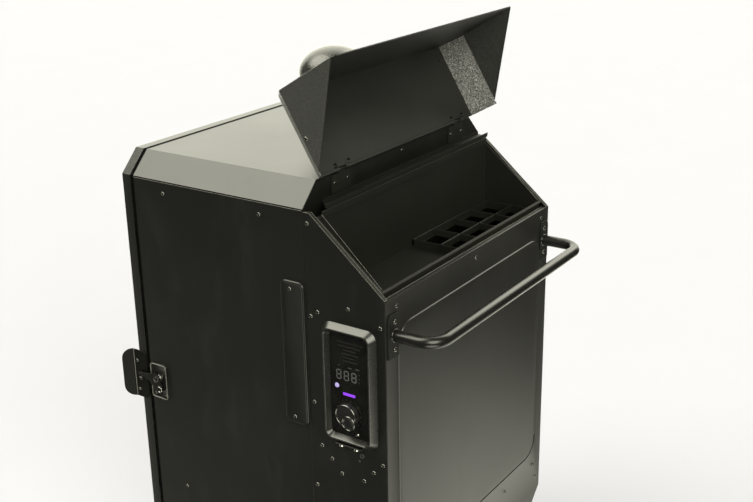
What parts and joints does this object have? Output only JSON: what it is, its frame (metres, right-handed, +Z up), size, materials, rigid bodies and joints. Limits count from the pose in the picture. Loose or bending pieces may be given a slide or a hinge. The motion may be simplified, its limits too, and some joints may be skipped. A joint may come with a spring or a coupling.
{
  "type": "pellet smoker",
  "caption": "Tall vertical pellet smoker: chamfered insulated cabinet, side-hinged door, open rear pellet hopper, side control panel, push handle and wheels.",
  "frame": {"origin": "on the ground, at the middle of the whole object's footprint, lid open", "axes": "+Z up, -Y towards the door, +Y towards the hopper and push handle, +X towards the side with the control panel and the latch"},
  "size_m": [0.6483, 0.7388, 1.3301],
  "materials": {
    "body_paint": "semi-gloss black powder coat",
    "lid_paint": "fine wrinkle black powder coat",
    "handle_paint": "satin black",
    "liner_steel": "mill finish steel sheet",
    "galvanised": "zinc plated",
    "rack_chrome": "chrome-plated wire",
    "chrome": "polished",
    "hammered": "glossy hammered enamel",
    "cast_iron": "raw, heat-darkened",
    "enamel": "gloss enamel",
    "gasket": "woven glass-fibre rope",
    "black_plastic": "matt moulded",
    "bezel_plastic": "satin moulded",
    "knob_plastic": "satin with bright ring",
    "display": "gloss smoked window",
    "violet_button": "backlit violet",
    "rubber": "moulded tread",
    "ceramic": "fired ceramic"
  },
  "bodies": {
    "cabinet": {"side_panel_left": "body_paint", "side_panel_right": "body_paint", "top_panel": "body_paint", "bottom_panel": "body_paint", "back_wall": "body_paint", "front_frame": "body_paint", "inner_liner": "liner_steel", "door_hinge_upper_fixed": "body_paint", "door_hinge_lower_fixed": "body_paint", "latch_base": "body_paint", "heat_baffle": "cast_iron", "fire_pot": "cast_iron", "igniter": "ceramic", "auger_tube": "galvanised", "auger_motor": "galvanised", "fan_housing": "black_plastic", "temperature_probe": "chrome", "hopper_side_left": "body_paint", "hopper_side_right": "body_paint", "rear_panel": "body_paint", "hopper_bin": "body_paint", "hopper_grate": "body_paint", "rain_gutter": "body_paint", "lid_hinge_left": "body_paint", "lid_hinge_right": "body_paint", "chimney_pipe": "hammered", "control_bezel": "bezel_plastic", "display_glass": "display", "controller_housing": "black_plastic", "probe_jacks": "chrome", "power_inlet": "black_plastic", "side_cover_plate": "body_paint", "push_handle": "handle_paint", "base_frame": "body_paint", "axle": "galvanised"},
    "door": {"door_outer_skin": "body_paint", "door_inner_liner": "liner_steel", "door_gasket": "gasket", "door_pull": "body_paint", "door_hinge_upper_moving": "body_paint", "door_hinge_lower_moving": "body_paint"},
    "latch": {"latch_lever": "body_paint"},
    "lid": {"hopper_lid": "lid_paint"},
    "rack_1": {"rack_1": "rack_chrome"},
    "rack_2": {"rack_2": "rack_chrome"},
    "rack_3": {"rack_3": "rack_chrome"},
    "rack_4": {"rack_4": "rack_chrome"},
    "pan": {"water_pan": "enamel"},
    "drawer": {"grease_drawer": "galvanised"},
    "auger": {"auger_screw": "galvanised"},
    "fan": {"fan_impeller": "black_plastic"},
    "knob": {"control_knob": "knob_plastic"},
    "button": {"power_button": "violet_button"},
    "wheel_left": {"wheel_left": "rubber"},
    "wheel_right": {"wheel_right": "rubber"},
    "caster_left": {"caster_fork_left": "galvanised"},
    "caster_right": {"caster_fork_right": "galvanised"},
    "caster_wheel_left": {"caster_wheel_left": "rubber"},
    "caster_wheel_right": {"caster_wheel_right": "rubber"},
    "cap": {"chimney_cap": "hammered"}
  },
  "joints": [
    {"name": "door_hinge", "type": "hinge", "parent": "cabinet", "child": "door", "pos_m": [-0.3194, -0.3103, 0.652], "axis": [0, 0, -1], "range_deg": [0, 120]},
    {"name": "latch_pivot", "type": "hinge", "parent": "cabinet", "child": "latch", "pos_m": [0.3126, -0.2828, 0.634], "axis": [-1, 0, 0], "range_deg": [0, 30]},
    {"name": "lid_hinge", "type": "hinge", "parent": "cabinet", "child": "lid", "pos_m": [-0.0044, 0.1052, 1.103], "axis": [-1, 0, 0], "range_deg": [0, 121]},
    {"name": "rack_1_slide", "type": "slide", "parent": "cabinet", "child": "rack_1", "axis": [0, -1, 0], "range_m": [0, 0.012]},
    {"name": "rack_2_slide", "type": "slide", "parent": "cabinet", "child": "rack_2", "axis": [0, -1, 0], "range_m": [0, 0.012]},
    {"name": "rack_3_slide", "type": "slide", "parent": "cabinet", "child": "rack_3", "axis": [0, -1, 0], "range_m": [0, 0.012]},
    {"name": "rack_4_slide", "type": "slide", "parent": "cabinet", "child": "rack_4", "axis": [0, -1, 0], "range_m": [0, 0.012]},
    {"name": "pan_slide", "type": "slide", "parent": "cabinet", "child": "pan", "axis": [0, -1, 0], "range_m": [0, 0.03]},
    {"name": "drawer_slide", "type": "slide", "parent": "cabinet", "child": "drawer", "axis": [0, -1, 0], "range_m": [0, 0.22]},
    {"name": "auger_spin", "type": "hinge", "parent": "cabinet", "child": "auger", "pos_m": [-0.0044, 0.1022, 0.29], "axis": [0, 1, 0], "continuous": true},
    {"name": "fan_spin", "type": "hinge", "parent": "cabinet", "child": "fan", "pos_m": [0.1256, 0.1169, 0.29], "axis": [0, 1, 0], "continuous": true},
    {"name": "knob_turn", "type": "hinge", "parent": "cabinet", "child": "knob", "pos_m": [0.3087, 0.1919, 0.689], "axis": [1, 0, 0], "continuous": true},
    {"name": "button_press", "type": "slide", "parent": "cabinet", "child": "button", "axis": [-1, 0, 0], "range_m": [0, 0.001], "stiffness_N_per_m": 300},
    {"name": "wheel_left_spin", "type": "hinge", "parent": "cabinet", "child": "wheel_left", "pos_m": [-0.2894, 0.2122, 0.075], "axis": [1, 0, 0], "continuous": true},
    {"name": "wheel_right_spin", "type": "hinge", "parent": "cabinet", "child": "wheel_right", "pos_m": [0.2806, 0.2122, 0.075], "axis": [1, 0, 0], "continuous": true},
    {"name": "caster_left_swivel", "type": "hinge", "parent": "cabinet", "child": "caster_left", "pos_m": [-0.2544, -0.2578, 0.095], "axis": [0, 0, 1], "continuous": true},
    {"name": "caster_left_roll", "type": "hinge", "parent": "caster_left", "child": "caster_wheel_left", "pos_m": [-0.2544, -0.2758, 0.0375], "axis": [1, 0, 0], "continuous": true},
    {"name": "caster_right_swivel", "type": "hinge", "parent": "cabinet", "child": "caster_right", "pos_m": [0.2456, -0.2578, 0.095], "axis": [0, 0, 1], "continuous": true},
    {"name": "caster_right_roll", "type": "hinge", "parent": "caster_right", "child": "caster_wheel_right", "pos_m": [0.2456, -0.2758, 0.0375], "axis": [1, 0, 0], "continuous": true},
    {"name": "cap_height", "type": "slide", "parent": "cabinet", "child": "cap", "axis": [0, 0, 1], "range_m": [-0.012, 0.012]}
  ]
}
